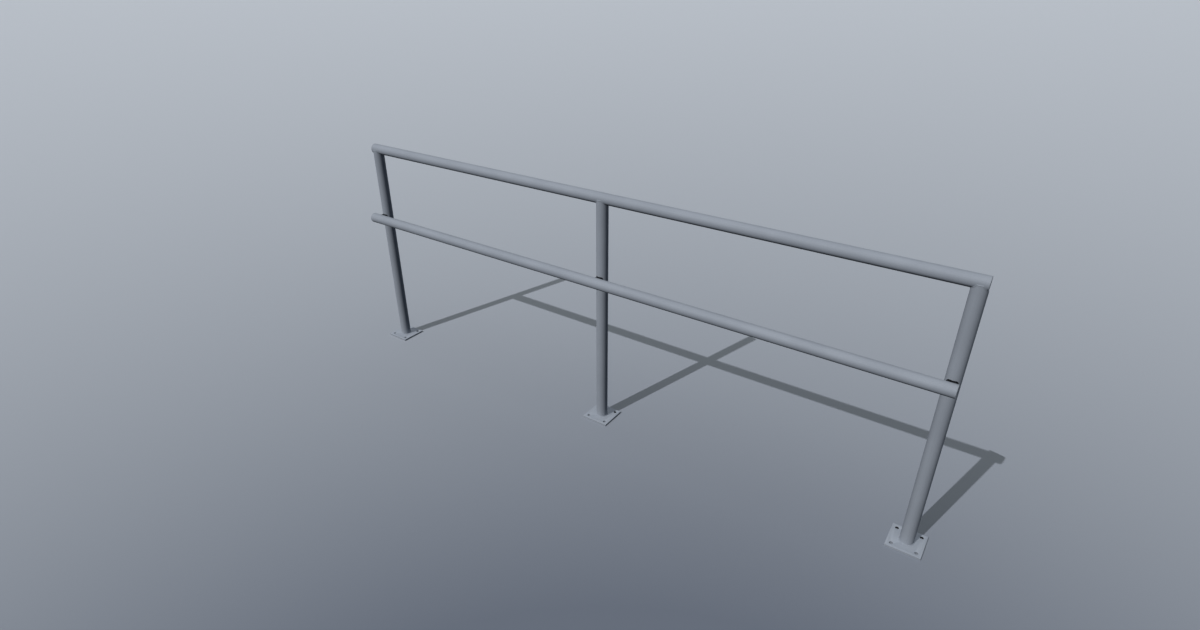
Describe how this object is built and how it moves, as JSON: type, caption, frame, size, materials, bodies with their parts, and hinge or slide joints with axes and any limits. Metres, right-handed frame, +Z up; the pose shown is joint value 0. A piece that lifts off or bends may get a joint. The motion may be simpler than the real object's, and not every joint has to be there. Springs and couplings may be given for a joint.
{
  "type": "handrail",
  "caption": "Straight round-tube handrail with a top rail on welded posts, a mid rail on stand-off stubs in front of them, and square base plates drilled for floor bolts.",
  "frame": {"origin": "centre of the underside of the middle base plate", "axes": "+X along the rails to the right, +Y to the back, away from the mid rail's side, +Z up"},
  "size_m": [2.72, 0.1472, 1.0302],
  "materials": {
    "steel_grey": "even light grey coat, satin to matt",
    "weld_grey": "coated weld bead, satin to matt",
    "cap_grey": "even light grey coat, satin to matt",
    "stub_dark": "near-black matt coat"
  },
  "bodies": {
    "root": {"base_plate_left": "steel_grey", "base_plate_middle": "steel_grey", "base_plate_right": "steel_grey", "post_left": "steel_grey", "post_middle": "steel_grey", "post_right": "steel_grey", "foot_weld_left": "weld_grey", "foot_weld_middle": "weld_grey", "foot_weld_right": "weld_grey", "top_rail": "steel_grey", "top_cap_left": "cap_grey", "top_cap_right": "cap_grey", "saddle_weld_left": "weld_grey", "saddle_weld_middle": "weld_grey", "saddle_weld_right": "weld_grey", "mid_rail": "steel_grey", "mid_cap_left": "cap_grey", "mid_cap_right": "cap_grey", "stub_left": "stub_dark", "stub_middle": "stub_dark", "stub_right": "stub_dark", "stub_post_weld_left": "stub_dark", "stub_post_weld_middle": "stub_dark", "stub_post_weld_right": "stub_dark", "stub_rail_weld_left": "stub_dark", "stub_rail_weld_middle": "stub_dark", "stub_rail_weld_right": "stub_dark"}
  },
  "joints": []
}
